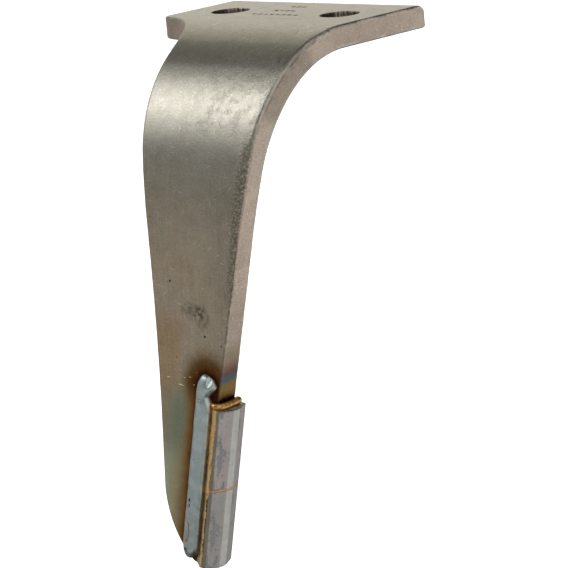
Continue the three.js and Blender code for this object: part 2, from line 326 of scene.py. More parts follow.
def body_grid():
    """The broad faces' grid of x and s, bent to a ring of cells round each hole."""
    stations = body_stations()
    left, right = trailing_edge(stations), leading_edge(stations)
    scale = np.minimum(1.0, (right - left) / (4.5 * EDGE_STEPS[-1]))
    steps = scale[:, None] * np.array(EDGE_STEPS)[None]
    inner_left, inner_right = left[:, None] + steps[:, -1:], right[:, None] - steps[:, -1:]
    middle = inner_left + (inner_right - inner_left) * body_columns()[None]
    x = np.concatenate([left[:, None] + steps[:, :-1], middle, right[:, None] - steps[:, -2::-1]], 1)
    rows, columns = x.shape
    s = np.repeat(stations[:, None], columns, 1)
    removed = np.zeros((rows - 1, columns - 1), bool)
    holes = []
    first = len(EDGE_STEPS) - 1 + COLUMNS_LEFT
    for hole_x, column in ((-HOLE_X, first), (HOLE_X, first + COLUMNS_BETWEEN)):
        row = int(np.argmin(np.abs(stations)))
        di = np.arange(rows)[:, None] - row
        dj = np.arange(columns)[None] - column
        upright = np.abs(di) >= np.abs(dj)
        ring = np.maximum(np.abs(di), np.abs(dj))
        big, small = np.where(upright, di, dj), np.where(upright, dj, di)
        turn = (np.pi / 4) * small / np.maximum(np.abs(big), 1)
        along_s = np.where(upright, np.sign(di) * np.cos(turn), np.sin(turn))
        along_x = np.where(upright, np.sin(turn), np.sign(dj) * np.cos(turn))
        radius = HOLE_RADIUS + HOLE_RIM + (ring - PATCH_CORE) * PATCH_SPACING
        weight = smooth(PATCH_CORE, PATCH_REACH, ring.astype(float))
        inside = ring <= PATCH_REACH
        x = np.where(inside, weight * x + (1 - weight) * (hole_x + radius * along_x), x)
        s = np.where(inside, weight * s + (1 - weight) * (radius * along_s), s)
        widest = np.maximum(ring[:-1], ring[1:])
        removed |= np.maximum(widest[:, :-1], widest[:, 1:]) <= PATCH_CORE
        loop = []
        c = PATCH_CORE
        for k in range(8 * c):
            side, place = divmod(k, 2 * c)
            i, j = [(-c, place - c), (place - c, c), (c, c - place), (c - place, -c)][side]
            loop.append((row + i, column + j))
        holes.append((hole_x, loop))
    return stations, x, s, removed, holes


def rolled_zone(s):
    """Where the leading edge is rolled over: full below the bend, less along the blade."""
    return smooth(106, 122, s) * (1 - 0.55 * smooth(140, 168, s)) * (1 - smooth(176, 196, s))


def outer_depth(x, s, from_left, from_right):
    """How deep the outer face lies: rolled at the free edge, rounded at its sides, hammered and wrinkled."""
    rolled = rolled_zone(s)
    blunt = smooth(34, 60, s) * (1 - smooth(100, 116, s))
    along = (1.0 + 5.2 * rolled + 1.5 * blunt) * (1 + 0.22 * rolled * rough(s / 2.6, x / 2.0, 3))
    over = clip01((FREE_EDGE + ROLL_OVER_LENGTH - s) / ROLL_OVER_LENGTH)
    depth = ROLL_OVER_DROP * (1 - np.sqrt(1 - over * over)) + edge_drop(from_left, 1.3, 1.3)
    depth = depth + edge_drop(from_right, along, 1.0 + 1.5 * rolled + 1.2 * blunt)
    marked = smooth(MARKED_X + 1.5, MARKED_X - 1.5, np.abs(x))
    marked = marked * smooth(MARKED_HALF + 1.5, MARKED_HALF - 1.5, np.abs(s - MARKED_S))
    hammered = 0.045 * (1 + rough(x / 13, s / 11, 1)) + 0.02 * (1 + rough(x / 4.5, s / 5, 2))
    bend = smooth(40, 62, s) * (1 - smooth(112, 135, s)) * smooth(-6, 26, x)
    slant, cross = (x + s) / 4.6, (x - s) / 1.7
    folds = np.abs(rough(cross + 0.5 * noise(x / 5, s / 5, 5), slant + 0.8 * noise(x / 7, s / 7, 6), 4))
    wrinkled = 0.007 * bend * smooth(0.0, 0.5, rough(x / 8, s / 8, 3)) * clip01(1 - 3.5 * folds)
    speckled = 0.12 * rolled * smooth(8.0, 2.0, from_right) * (1 + rough(x / 0.9, s / 1.1, 5))
    fade = smooth(FREE_EDGE + 0.3, FREE_EDGE + 3, s)
    far = smooth(2.5, 12, np.minimum(from_left, from_right)) * fade
    skin = hammered * (1 - 0.93 * marked) * far + wrinkled + speckled
    nick = 0.9 * np.exp(-(((s - 37.0) / 0.8) ** 2) - (from_right / 1.3) ** 2)
    return np.maximum(depth + skin * fade * smooth(0.0, 1.2, from_left) + nick, 0)


def inner_depth(x, s, from_left, from_right):
    """How deep the inner face lies: rounded at its edges and slightly uneven."""
    turned = np.clip(FREE_EDGE + FREE_EDGE_ROUNDING - s, 0, FREE_EDGE_ROUNDING)
    depth = BAR - (FREE_EDGE_ROUNDING - np.sqrt(FREE_EDGE_ROUNDING**2 - turned**2))
    depth = depth - edge_drop(from_left, 1.6, 1.6) - edge_drop(from_right, 1.4, 1.4)
    far = smooth(2.5, 12, np.minimum(from_left, from_right)) * smooth(FREE_EDGE + 0.3, FREE_EDGE + 3, s)
    return depth - far * (0.05 * (1 + rough(x / 12, s / 14, 6)) + 0.015 * (1 + rough(x / 4, s / 4, 7)))


# A punched hole's wall: how far it stands outside the radius, at each depth.
HOLE_WALL = [(0.35, 0.08), (0.12, 0.3), (0.02, 0.6)] + [(0.0, t) for t in np.linspace(1.2, 10.8, 13)]
HOLE_WALL += [(0.1, 11.6), (0.4, 11.95)]


def build_body():
    stations, x, s, removed, holes = body_grid()
    rows, columns = x.shape
    from_left = outline_distance(x, s, trailing_edge, stations)
    from_right = outline_distance(x, s, leading_edge, stations)
    outer = outer_depth(x, s, from_left, from_right)
    inner = inner_depth(x, s, from_left, from_right)
    points = [on_bar(x, s, outer).reshape(-1, 3), on_bar(x, s, inner).reshape(-1, 3)]
    total = 2 * rows * columns

    def outer_at(i, j):
        return i * columns + j

    def inner_at(i, j):
        return rows * columns + i * columns + j

    faces = []
    for i in range(rows - 1):
        for j in range(columns - 1):
            if not removed[i, j]:
                faces.append((outer_at(i, j), outer_at(i + 1, j), outer_at(i + 1, j + 1), outer_at(i, j + 1)))
                faces.append((inner_at(i, j), inner_at(i, j + 1), inner_at(i + 1, j + 1), inner_at(i + 1, j)))

    # The side walls and the two ends: layers of points between the outer and the inner edge.
    rim = [(i, 0) for i in range(rows)] + [(rows - 1, j) for j in range(1, columns)]
    rim += [(i, columns - 1) for i in range(rows - 2, -1, -1)] + [(0, j) for j in range(columns - 2, 0, -1)]
    size, side_start = len(rim), total
    at_rim = tuple(np.array(rim).T)
    facing = np.where(at_rim[1] == 0, 1.0, np.where(at_rim[1] == columns - 1, -1.0, 0.0))
    for k in range(1, SIDE_LAYERS):
        t = outer[at_rim] + (inner - outer)[at_rim] * (k / SIDE_LAYERS)
        dish = 0.05 * (1 + rough(s[at_rim] / 9 + 3 * k / SIDE_LAYERS, t / 5, 2))
        points.append(on_bar(x[at_rim] + dish * facing, s[at_rim], t))
    total += size * (SIDE_LAYERS - 1)

    def side_at(k, index):
        index %= size
        if k == 0:
            return outer_at(*rim[index])
        if k == SIDE_LAYERS:
            return inner_at(*rim[index])
        return side_start + (k - 1) * size + index

    for k in range(SIDE_LAYERS):
        for n in range(size):
            faces.append((side_at(k, n), side_at(k + 1, n), side_at(k + 1, n + 1), side_at(k, n + 1)))

    # The bolt holes, punched: a rounded rim and a ragged wall.
    for hole_x, loop in holes:
        around, start = len(loop), total
        turn = np.array([math.atan2(s[i, j], x[i, j] - hole_x) for i, j in loop])
        for out, t in HOLE_WALL:
            scar = 0.22 * smooth(0.9, 3.0, t) * (0.5 + 0.5 * rough(turn * 9, t / 14 + 0 * turn, 5))
            r = HOLE_RADIUS + out + np.clip(scar, 0, 0.4) * (1 - smooth(9.5, 12, t))
            points.append(on_bar(hole_x + r * np.cos(turn), r * np.sin(turn), t + 0 * turn))
        total += around * len(HOLE_WALL)
        end = total - around
        for k in range(around):
            n = (k + 1) % around
            faces.append((outer_at(*loop[n]), outer_at(*loop[k]), start + k, start + n))
            faces += [(a + n, a + k, a + around + k, a + around + n) for a in range(start, end, around)]
            faces.append((end + n, end + k, inner_at(*loop[k]), inner_at(*loop[n])))
    return new_object("body_visual", np.concatenate(points), faces)


def box_between(low, high):
    corners = [(x, y, z) for x in (low[0], high[0]) for y in (low[1], high[1]) for z in (low[2], high[2])]
    faces = [(0, 1, 3, 2), (4, 6, 7, 5), (0, 4, 5, 1), (2, 3, 7, 6), (0, 2, 6, 4), (1, 5, 7, 3)]
    return corners, faces


def cut_tip(body):
    """The notch that holds the tip, and the foot, square to the notch's floor."""
    for low, high in (((0, -30, -160), (60, 30, 0)), ((-80, -30, -160), (80, 30, TIP_FOOT))):
        corners, faces = box_between(low, high)
        subtract(body, new_object("cutter", from_tip(corners), faces))


MARK_ROWS = [
    # y, first x, step and the lengths of the dashes
    (17.0, -9.0, 3.9, [3.6, 5.2, 4.0]),
    (4.6, -9.5, 3.9, [4.6, 3.0, 5.2, 4.2]),
    (-7.2, -14.0, 4.1, [3.4, 4.8, 2.6, 5.2, 3.0, 4.8, 5.0, 3.8]),
]
MARK_HALF_WIDTH = 1.5
MARK_DEPTH = 1.0
MARK_SLANT, MARK_BACK_SLANT = 1.5, -1.1


def punch_marks(body):
    """Generic punched dashes on the flange: three short rows that spell nothing."""
    points, faces = [], []
    for y, start, step, lengths in MARK_ROWS:
        for k, reach in enumerate(lengths):
            middle = np.array([start + step * k, y, 0.0])
            slant = MARK_SLANT if k % 3 else MARK_BACK_SLANT
            along = np.array([slant, 1.0, 0.0]) / math.hypot(slant, 1.0)
            across = np.array([along[1], -along[0], 0.0]) * MARK_HALF_WIDTH
            first = len(points)
            along = along * reach / 2
            points += [middle + along, middle + across, middle - along, middle - across]
            points += [middle + np.array([0, 0, 0.6]), middle - np.array([0, 0, MARK_DEPTH])]
            for a, b in ((0, 1), (1, 2), (2, 3), (3, 0)):
                faces += [(first + a, first + 4, first + b), (first + b, first + 5, first + a)]
    subtract(body, new_object("cutter", points, faces))


body = build_body()
cut_tip(body)
punch_marks(body)
shade(body, 38)


def mark_body(body):
    """What the steel's material needs to know about each point of the body."""
    points = mesh_points(body)
    x, s, t = off_bar(points)
    store(body, "bar", np.stack([x, s, t], -1))
    store(body, "tip", to_tip(points))
    from_left = (x - trailing_edge(s)) * np.where(s > EAR_FRONT + 2, 0.92, 1.0)
    from_right = leading_edge(s) - x
    edge = np.minimum(from_left, from_right)
    wall = smooth(0.75, 0.2, edge) * smooth(0.9, 1.3, t) * smooth(0.9, 1.3, BAR - t)
    store(body, "wall", wall)
    store(body, "from_right", from_right)
    from_axis = np.hypot(np.abs(x) - HOLE_X, s)
    store(body, "hole", smooth(HOLE_RADIUS + 0.48, HOLE_RADIUS + 0.3, from_axis))


mark_body(body)


# ---------------------------------------------------------------- lofted tip pieces
def rounded(corners, radii, spacing=1.0, arc=4):
    """A closed outline with its corners rounded, as points about evenly spaced."""
    corners = [np.array(c, float) for c in corners]
    outline = []
    size = len(corners)
    for k in range(size):
        before, here, after = corners[k - 1], corners[k], corners[(k + 1) % size]
        back, ahead = before - here, after - here
        back, ahead = back / np.linalg.norm(back), ahead / np.linalg.norm(ahead)
        for i in range(arc + 1):
            w = i / arc
            a, b = here + back * radii[k], here + ahead * radii[k]
            outline.append((1 - w) ** 2 * a + 2 * w * (1 - w) * here + w * w * b)
        nxt = after - ahead * radii[(k + 1) % size]
        start = outline[-1]
        count = int(np.linalg.norm(nxt - start) / spacing)
        outline += [start + (nxt - start) * (i + 1) / (count + 1) for i in range(count)]
    return np.array(outline)


def normals_2d(outline):
    """Each point's direction out of a closed outline."""
    ahead = np.roll(outline, -1, 0) - np.roll(outline, 1, 0)
    ahead /= np.linalg.norm(ahead, axis=1)[:, None]
    return np.stack([ahead[:, 1], -ahead[:, 0]], -1)


def prism(name, outline, bottom, top, bevel, roughness, seed, sharp=30, row=0.9, chips=0.0):
    """An extruded outline with bevelled ends and a slightly uneven skin."""
    count = int((top - bottom) / row)
    heights = [(bottom, bevel), (bottom + 0.3 * bevel, 0.3 * bevel)]
    heights += [(z, 0.0) for z in np.linspace(bottom + bevel, top - bevel, count)]
    heights += [(top - 0.3 * bevel, 0.3 * bevel), (top, bevel)]
    outward = normals_2d(outline)
    length = np.cumsum(np.r_[0, np.linalg.norm(np.diff(outline, axis=0), axis=1)])
    points = []
    for z, inset in heights:
        skin = roughness * (rough(length / 2.2, z / 2.6 + 0 * length, seed) - 1)
        near_end = smooth(3.0, 0.0, z - bottom) + smooth(2.0, 0.0, top - z)
        skin = skin - chips * near_end * clip01(rough(length / 1.3, z / 1.1 + 0 * length, seed + 3))
        ring = outline + outward * (skin - inset)[:, None]
        points.append(np.column_stack([ring, np.full(len(ring), z)]))
    faces = loft((len(heights), len(outline)))
    return new_object(name, from_tip(np.concatenate(points)), faces, sharp)


def mirrored(half):
    """A closed outline from its corners on the outer side, which is the negative y side."""
    return [(x, -y) for x, y in half] + [(x, y) for x, y in reversed(half)]


carrier_corners = mirrored([(-0.4, 5.9), (0.2, 6.3), (CARRIER_FRONT + 0.4, 9.25)])
carrier = prism("carrier_visual", rounded(carrier_corners, [0.2] * 6), TIP_FOOT, -0.3, 0.35, 0.06, 1)
plate_corners = mirrored([
    (PLATE_BACK - 0.6, 9.05), (PLATE_BACK - 0.1, 9.25), (PLATE_SHOULDER, 9.4), (NOSE_FRONT, NOSE_HALF_FLAT),
])
plate_outline = rounded(plate_corners, [0.1, 0.15, 0.22, 0.22, 0.22, 0.22, 0.15, 0.1], 0.8, 3)
plate_upper = prism("plate_upper_visual", plate_outline, SEAM_Z + 0.35, -0.3, 0.25, 0.05, 2, 24, 0.8, 0.25)
plate_lower = prism("plate_lower_visual", plate_outline, TIP_FOOT, SEAM_Z - 0.35, 0.25, 0.05, 4, 24, 0.8, 0.3)


def flank(x):
    """How far the carrier's and the plates' sides stand out at this place."""
    before, beyond = 9.22 - 0.59 * (CARRIER_FRONT - x), 9.22 + 0.07 * clip01((x - 6.7) / 2.5)
    return np.where(x < CARRIER_FRONT, before, beyond)


def rough_at(along, lane, seed):
    """One number of rough noise, at a place along a lane of its own."""
    return float(rough(np.array(along), np.array(lane), seed))


def noise_at(along, lane, seed):
    return float(noise(np.array(along), np.array(lane), seed))


def braze_layer(name, bottom, top, seed):
    """The braze that shows on both flanks: wide and bled back above the seam, narrow below it."""
    heights = np.linspace(bottom, top, int((top - bottom) / 0.4))
    points = []
    for z in heights:
        ring = []
        wide = 1.0 + 0.35 * clip01((z + 45) / 45)
        narrow = smooth(-43, -50, z) * (1 - 0.6 * smooth(-78, -88, z))
        for side in (-1, 1):
            k = seed + (3 if side > 0 else 0)
            bleed = clip01(1.6 * rough_at(z / 5.0, 0.5 + side, k)) * (2.6 - 1.8 * narrow)
            back = 4.6 - 0.4 * wide - bleed + 0.3 * noise_at(z / 0.9, 1.0, k) + 0.6 * narrow
            ahead = 6.3 + 0.6 * wide * (1 + rough_at(z / 4.0, 3.0 + side, k + 1))
            ahead += 0.3 * noise_at(z / 0.9, 2.0, k + 2) - 0.8 * narrow
            proud = 0.18 + 0.08 * noise_at(z / 1.7, 4.0, k)
            xs = np.linspace(back, ahead, 9)
            ys = flank(xs) - 0.05 + proud * np.sqrt(np.maximum(0, 1 - np.linspace(-1, 1, 9) ** 4))
            part = [(back + 0.3, float(flank(back + 0.3)) - 0.5)] + list(zip(xs, ys))
            part += [(ahead - 0.2, float(flank(ahead - 0.2)) - 0.5)]
            ring += [(x, side * y, z) for x, y in (part if side < 0 else reversed(part))]
        points += ring
    return new_object(name, from_tip(points), loft((len(heights), 22)), 40)


braze_upper = braze_layer("braze_upper_visual", SEAM_Z - 0.1, -0.35, 1)
braze_lower = braze_layer("braze_lower_visual", TIP_FOOT + 0.05, SEAM_Z - 0.1, 2)


def seam():
    """The wavy line of braze between the two plates."""
    outline = rounded(plate_corners, [0.1, 0.15, 0.3, 0.3, 0.3, 0.3, 0.15, 0.1], 0.5, 4)
    outward = normals_2d(outline)
    length = np.cumsum(np.r_[0, np.linalg.norm(np.diff(outline, axis=0), axis=1)])
    half = 0.66 + 0.30 * rough(length / 2.4, 0 * length, 2)
    rise = 0.35 * rough(length / 6, 1 + 0 * length, 4)
    points = []
    for share in np.linspace(-1, 1, 7):
        proud = 0.09 * math.sqrt(1 - share**4) - 0.06
        ring = outline + outward * proud
        points.append(np.column_stack([ring, SEAM_Z + rise + half * share]))
    return new_object("seam_visual", from_tip(np.concatenate(points)), loft((7, len(outline))), 50)


seam_piece = seam()


def sweep(path, radii, flat, sides, seed, name, bumps):
    """A rounded roll along a path in the tip's frame."""
    fine = np.linspace(0, len(path) - 1, 70)
    index = np.minimum(fine.astype(int), len(path) - 2)
    share = (fine - index)[:, None]

    def curve(values):
        """A smooth curve through the values."""
        values = np.array(values, float).reshape(len(values), -1)
        padded = np.concatenate([2 * values[:1] - values[1:2], values, 2 * values[-1:] - values[-2:-1]])
        before, a, b, after = (padded[index + k] for k in range(4))
        square, cube = 2 * before - 5 * a + 4 * b - after, 3 * a - before - 3 * b + after
        return 0.5 * (2 * a + (b - before) * share + square * share**2 + cube * share**3)

    centre, radius = curve(path), curve(radii)[:, 0]
    ahead = np.gradient(centre, axis=0)
    points = []
    for i in range(len(centre)):
        aside = np.cross(ahead[i], (0, 0, 1.0))
        aside /= np.linalg.norm(aside)
        lift = np.cross(aside, ahead[i] / np.linalg.norm(ahead[i]))
        for j in range(sides):
            turn = 2 * math.pi * j / sides
            r = radius[i] * (1 + bumps * rough_at(i / 9.0, 4 * j / sides, seed))
            points.append(centre[i] + r * (math.cos(turn) * aside + flat * math.sin(turn) * lift))
    return new_object(name, from_tip(points), loft((len(centre), sides)), 60)


collar = sweep(
    [(1.2, -6.2, 0.6), (2.6, -7.0, 0.8), (4.6, -7.4, 0.8), (6.4, -6.2, 0.9), (7.1, -3.0, 1.1),
     (7.2, 0.5, 1.2), (7.0, 4.0, 1.25), (6.2, 6.4, 1.3), (5.2, 7.0, 1.2)],
    [0.7, 1.4, 1.75, 1.9, 2.0, 1.95, 2.0, 2.0, 1.1], 0.95, 24, 3, "fillet_visual", 0.07,
)


# ---------------------------------------------------------------- weld beads
TOE_X = -9.4
BEAD_PROUDEST = 9.95
SPATTER = [
    # two ends of each splash, in the tip's frame as x and z, its height on the surface and its half width
    ((-31.8, 4.5), (-29.2, 4.9), -5.95, 0.2), ((-23.6, 3.2), (-19.0, 3.4), -5.95, 0.26),
    ((-20.2, 7.5), (-18.4, 8.1), -5.95, 0.2), ((-16.6, 8.8), (-15.1, 9.3), -5.95, 0.24),
    ((-13.0, 5.5), (-12.3, 6.3), -5.95, 0.28), ((4.9, -12.3), (8.2, -13.3), -9.42, 0.26),
    ((-26.5, 10.2), (-25.6, 10.9), -5.95, 0.16), ((-11.9, 12.4), (-11.6, 12.9), -5.95, 0.2),
    ((-4.2, -57.2), (-3.8, -56.0), -9.9, 0.24),
]
CRATERS = [
    # the last pool's crater and the pits: x, z, half width, half height and depth
    (-4.9, 1.6, 0.45, 0.6, 0.5), (-3.4, 0.2, 0.4, 0.6, 0.5), (-5.2, -52.0, 0.6, 1.2, 0.5),
    (-5.0, -54.8, 0.6, 1.3, 0.5), (-5.0, -69.5, 1.6, 6.0, 0.6), (-5.0, -79.5, 1.3, 1.6, 1.4),
]
BEAD_TOP = 14.1
BEAD_ROWS, BEAD_CROSS = 190, 34
BEAD_HEIGHT = 3.7
SPLASH_ROWS, SPLASH_SIDES = 9, 8


def bead_edges(z, seed):
    """Where the bead's two edges run, and how full it is: less at its round ends."""
    toe = TOE_X + 0.22 * rough(z / 5, 0 * z, seed)
    lap = 2.1 + 0.25 * rough(z / 6, 2 + 0 * z, seed + 1) + 2.4 * smooth(5.5, 10.5, z)
    lap = lap - 2.4 * np.exp(-(((z - 3.0) / 2.3) ** 2))
    round_top = np.sqrt(1 - (1 - clip01((BEAD_TOP - z) / 8.5)) ** 2)
    round_foot = np.sqrt(1 - (1 - clip01((z - z[0]) / 9.0)) ** 2)
    full = np.maximum(0.02, round_top * round_foot)
    anchor = np.where(z > -30, -4.9, -5.2)
    return anchor + (toe - anchor) * full, anchor + (lap - anchor) * full, full


def splash(first, second, height, wide, start):
    """One lengthened drop of spatter: its points and its faces."""
    ends = np.array([first, second])
    ahead = (ends[1] - ends[0]) / np.linalg.norm(ends[1] - ends[0])
    points = []
    for i in range(SPLASH_ROWS):
        turn = math.pi * (0.06 + 0.88 * i / (SPLASH_ROWS - 1))
        middle = ends.mean(0) - (ends[1] - ends[0]) / 2 * math.cos(turn)
        for j in range(SPLASH_SIDES):
            roll = 2 * math.pi * j / SPLASH_SIDES
            place = middle + wide * math.sin(turn) * math.cos(roll) * np.array([-ahead[1], ahead[0]])
            points.append((place[0], height - 0.8 * wide * math.sin(turn) * math.sin(roll), place[1]))
    return points, loft((SPLASH_ROWS, SPLASH_SIDES), start=start)


def bead(name, side, seed):
    """A weld bead on the outer side (-1) or the inner side (1); the outer one carries the spatter."""
    heights = np.linspace(TIP_FOOT + 0.4, BEAD_TOP, BEAD_ROWS)
    u = np.linspace(-1, 1, BEAD_CROSS)
    dome = np.maximum(0, 1 - np.abs(u) ** 2.8) ** 0.55
    points = []
    for z, toe, lap, full in zip(heights, *bead_edges(heights, seed)):
        x = toe + (lap - toe) * (u + 1) / 2
        on_carrier = np.where(x > 0.3, 0.59 * (x - 0.3) + 0.3 * clip01(x / 0.3), 0.0)
        lower = HALF_BAR + on_carrier * (1 - smooth(-0.5, 1.5, z))
        line = HALF_BAR + (lower[-1] - HALF_BAR) * (u + 1) / 2
        tall = BEAD_HEIGHT * full**0.7 * (1 + 0.05 * rough_at(z / 8, 1.0, seed))
        ripple = 0.012 * np.sin(z * 2.3 + 1.2 * u * u + 2 * noise_at(z / 6, 0.0, seed))
        skin = 0.05 * rough(x / 2.8, z / 5.0 + 0 * x, seed + 2)
        y = line + (tall + ripple + skin) * dome
        if z > 5.0:
            # The flat, bright slope on the head, where the arc went out.
            slope = 9.6 - 0.62 * (z - 8.2) + 2.2 * np.maximum(0, -1.2 - x)
            y = np.minimum(y, slope + 0.05 * rough(x / 1.5, z / 1.5 + 0 * x, 3))
        for middle_x, middle_z, half_x, half_z, deep in CRATERS:
            gap = np.hypot((x - middle_x) / half_x, (z - middle_z) / half_z)
            y = y - deep * (1 - smooth(0.55, 1.0, gap)) + 0.25 * deep * np.exp(-((gap - 1.08) / 0.16) ** 2)
        y = np.clip(y, lower - 0.25, BEAD_PROUDEST)
        y[0], y[-1] = HALF_BAR - 0.25, lower[-1] - 0.25
        points += [(x[j], side * y[j], z) for j in range(BEAD_CROSS)]
        points += [(x[-1] - 0.4 * full, side * (lower[-1] - 1.0), z), (x[0] + 0.4 * full, side * 5.0, z)]
    faces = loft((BEAD_ROWS, BEAD_CROSS + 2))
    if side < 0:
        faces = [tuple(reversed(face)) for face in faces]
    body_count = len(points)
    for ends in SPATTER if side < 0 else []:
        more_points, more_faces = splash(*ends, len(points))
        points += more_points
        faces += more_faces
    obj = new_object(name, from_tip(points, 0.0), faces, 70)
    splashes = len(points) - body_count
    store(obj, "across", np.r_[np.tile(np.r_[u, 1.0, -1.0], BEAD_ROWS), np.zeros(splashes)])
    store(obj, "spatter", np.r_[np.zeros(body_count), np.ones(splashes)])
    return obj


bead_outer = bead("bead_outer_visual", -1, 1)
bead_inner = bead("bead_inner_visual", 1, 4)


# ---------------------------------------------------------------- materials
BLADE_LIGHT = 0.37  # how brightly a mirror lying on the blade would show the room
WALL_LIGHT = 0.74


def seen(red, green, blue, light=BLADE_LIGHT):
    """The base colour that shows as this 8-bit colour in that light."""
    shares = [value / 255 for value in (red, green, blue)]
    linear = [share / 12.92 if share <= 0.04045 else ((share + 0.055) / 1.055) ** 2.4 for share in shares]
    return tuple(min(1.0, value / light) for value in linear)


class Value:
    """Something that a shader works out for each point: a number, a place or a colour."""

    def __init__(self, look, socket):
        self.look, self.socket = look, socket

    def __add__(self, other):
        return self.look.maths("ADD", self, other)

    def __mul__(self, other):
        return self.look.maths("MULTIPLY", self, other)

    def __sub__(self, other):
        return self.look.maths("SUBTRACT", self, other)

    def __rsub__(self, other):
        return self.look.maths("SUBTRACT", other, self)

    def __abs__(self):
        return self.look.maths("ABSOLUTE", self)

    __radd__ = __add__
    __rmul__ = __mul__

    def split(self):
        return self.look.node("SeparateXYZ", {0: self}, (0, 1, 2))

    def span(self, low, high, out_low=0.0, out_high=1.0):
        """A smooth step, from out_low at low to out_high at high."""
        if low > high:
            low, high, out_low, out_high = high, low, out_high, out_low
        inputs = {"Value": self, "From Min": low, "From Max": high, "To Min": out_low, "To Max": out_high}
        return self.look.node("MapRange", inputs, interpolation_type="SMOOTHSTEP")

    def scaled(self, factors, turn=0.0):
        """A place turned about the third axis, then stretched."""
        turned = self
        if turn:
            turned = self.look.node("Mapping", {"Vector": self, "Rotation": (0, 0, math.radians(turn))})
        return self.look.node("Mapping", {"Vector": turned, "Scale": factors})

    def noise(self, scale, detail=2.0, rough=0.5, distortion=0.0):
        inputs = {"Vector": self, "Scale": scale, "Detail": detail, "Roughness": rough}
        return self.look.node("TexNoise", {**inputs, "Distortion": distortion})

    def cells(self, scale):
        """The distance to the nearest of many scattered points."""
        return self.look.node("TexVoronoi", {"Vector": self, "Scale": scale})

    def wobbled(self, place, scale, amount, detail=2.0):
        """A number pushed about by noise."""
        return self + (place.noise(scale, detail) - 0.5) * (2 * amount)

    def near(self, middle, reach):
        """One at a middle value, fading to nothing a reach away."""
        return spot(self, self, (middle, middle), (reach * math.sqrt(2), reach * math.sqrt(2)))

    def ramp(self, stops):
        """Colours at rising values."""
        low, high = stops[0][0], stops[-1][0]
        share = self.look.node("MapRange", {"Value": self, "From Min": low, "From Max": high})
        colour = self.look.node("ValToRGB", {0: share})
        elements = colour.socket.node.color_ramp.elements
        while len(elements) < len(stops):
            elements.new(0.5)
        for element, (place, paint) in zip(elements, stops):
            element.position = (place - low) / (high - low)
            element.color = (*paint, 1)
        return colour

    def shaded(self, factor):
        return self.look.shaded(self, factor)


class Nodes:
    """A tree of shader nodes, with short calls for making them."""

    def __init__(self, tree):
        self.nodes, self.links = tree.nodes, tree.links

    def plug(self, socket, value):
        if isinstance(value, Value):
            self.links.new(value.socket, socket)
        elif isinstance(value, tuple) and socket.type == "RGBA":
            socket.default_value = (*value, 1)
        elif value is not None:
            socket.default_value = value

    def node(self, kind, inputs, outputs=0, **settings):
        """A node with its inputs plugged in: its output, or a tuple of outputs."""
        made = self.nodes.new("ShaderNode" + kind)
        for name, value in settings.items():
            setattr(made, name, value)
        for name, value in inputs.items():
            self.plug(made.inputs[name], value)
        if isinstance(outputs, tuple):
            return tuple(Value(self, made.outputs[index]) for index in outputs)
        return Value(self, made.outputs[outputs])

    def attribute(self, name, output="Fac"):
        return self.node("Attribute", {}, output, attribute_name=name)

    def maths(self, operation, first, second=None, clamp=False):
        return self.node("Math", {0: first, 1: second}, operation=operation, use_clamp=clamp)

    def mix(self, factor, first, second):
        """The first colour, and the second where the factor is one."""
        return self.node("Mix", {"Factor": factor, 6: first, 7: second}, 2, data_type="RGBA")

    def shaded(self, colour, factor):
        """A colour made darker or lighter by a number."""
        return self.node("VectorMath", {0: colour, "Scale": factor}, operation="SCALE")

    def bump(self, height, distance, strength=1.0, under=None):
        inputs = {"Strength": strength, "Distance": distance * MM, "Height": height, "Normal": under}
        return self.node("Bump", inputs)


class Look(Nodes):
    """One material."""

    def __init__(self, name, metallic=1.0):
        self.material = bpy.data.materials.new(name)
        self.material.use_nodes = True
        super().__init__(self.material.node_tree)
        self.shader = self.nodes["Principled BSDF"]
        self.set("Metallic", metallic)

    def set(self, name, value):
        self.plug(self.shader.inputs[name], value)


def length(across, along):
    return across.look.maths("SQRT", across * across + along * along)


def spot(x, y, place, reach):
    """One at a place, fading to nothing at its reach."""
    across = x.look.maths("DIVIDE", x - place[0], reach[0])
    along = x.look.maths("DIVIDE", y - place[1], reach[1])
    return (across * across + along * along).span(1.0, 0.1)


def grained(place, parts):
    """One plus layers of noise: (scale, amount, detail) each."""
    total = 1.0
    for scale, amount, detail in parts:
        total = total + (place.noise(scale, detail, 0.6) - 0.5) * amount
    return total


def bare_steel(look, bar, wall):
    """Cooler in the bend, browner down the blade, pinkish on sheared sides; and how light it is, with painted
    shade in the bend and painted light on the flange.
    """
    x, s, _ = bar.split()
    uneven = s.wobbled(bar, 0.05, 12)
    warm, low = uneven.span(108, 150), uneven.span(135, 178)
    blade = look.mix(low, seen(116, 110, 97), seen(122, 113, 98))
    blade = look.mix(x.span(22, 42, 0.0, 0.5), blade, seen(106, 100, 89))
    colour = look.mix(warm, (0.50, 0.475, 0.405), blade)
    brown = bar.noise(0.045, 4, 0.6).span(0.42, 0.66)
    colour = look.mix(brown * low * 0.25, colour, seen(125, 107, 88))
    colour = look.mix(wall, colour, (0.515, 0.425, 0.345))
    light = grained(bar, [(1.0, 0.75, 3), (0.45, 0.24, 3), (0.14, 0.34, 4), (0.035, 0.16, 2)])
    streaks = bar.scaled((0.8, 0.035, 0.5)).noise(1.0, 4, 0.6)
    light = light + (streaks - 0.5) * warm * 0.30
    light = light + sheared_grain(bar) * wall * 0.5
    # Painted shade: a darker band across the bend about s = 64, a painted dark reflection.
    light = light * s.near(64, 12).span(0, 1, 1.0, 0.78)
    # Painted light: the flange's top is made lighter towards the back and darker towards the front.
    flange_painted_light = (x * 0.25 + s).span(20, -30, 0.93, 1.05)
    light = light * s.span(44, 28).span(0, 1, 1.0, flange_painted_light)
    for zone, factor in ((s.near(86, 18.4), 0.72), (s.span(174, 206), 0.82), (s.span(66, 50), 1.09)):
        light = light * (wall * zone).span(0, 1, 1.0, factor)
    return colour.shaded(light), light


def sheared_grain(bar):
    return bar.noise(1.5, 3, 0.7) - 0.5


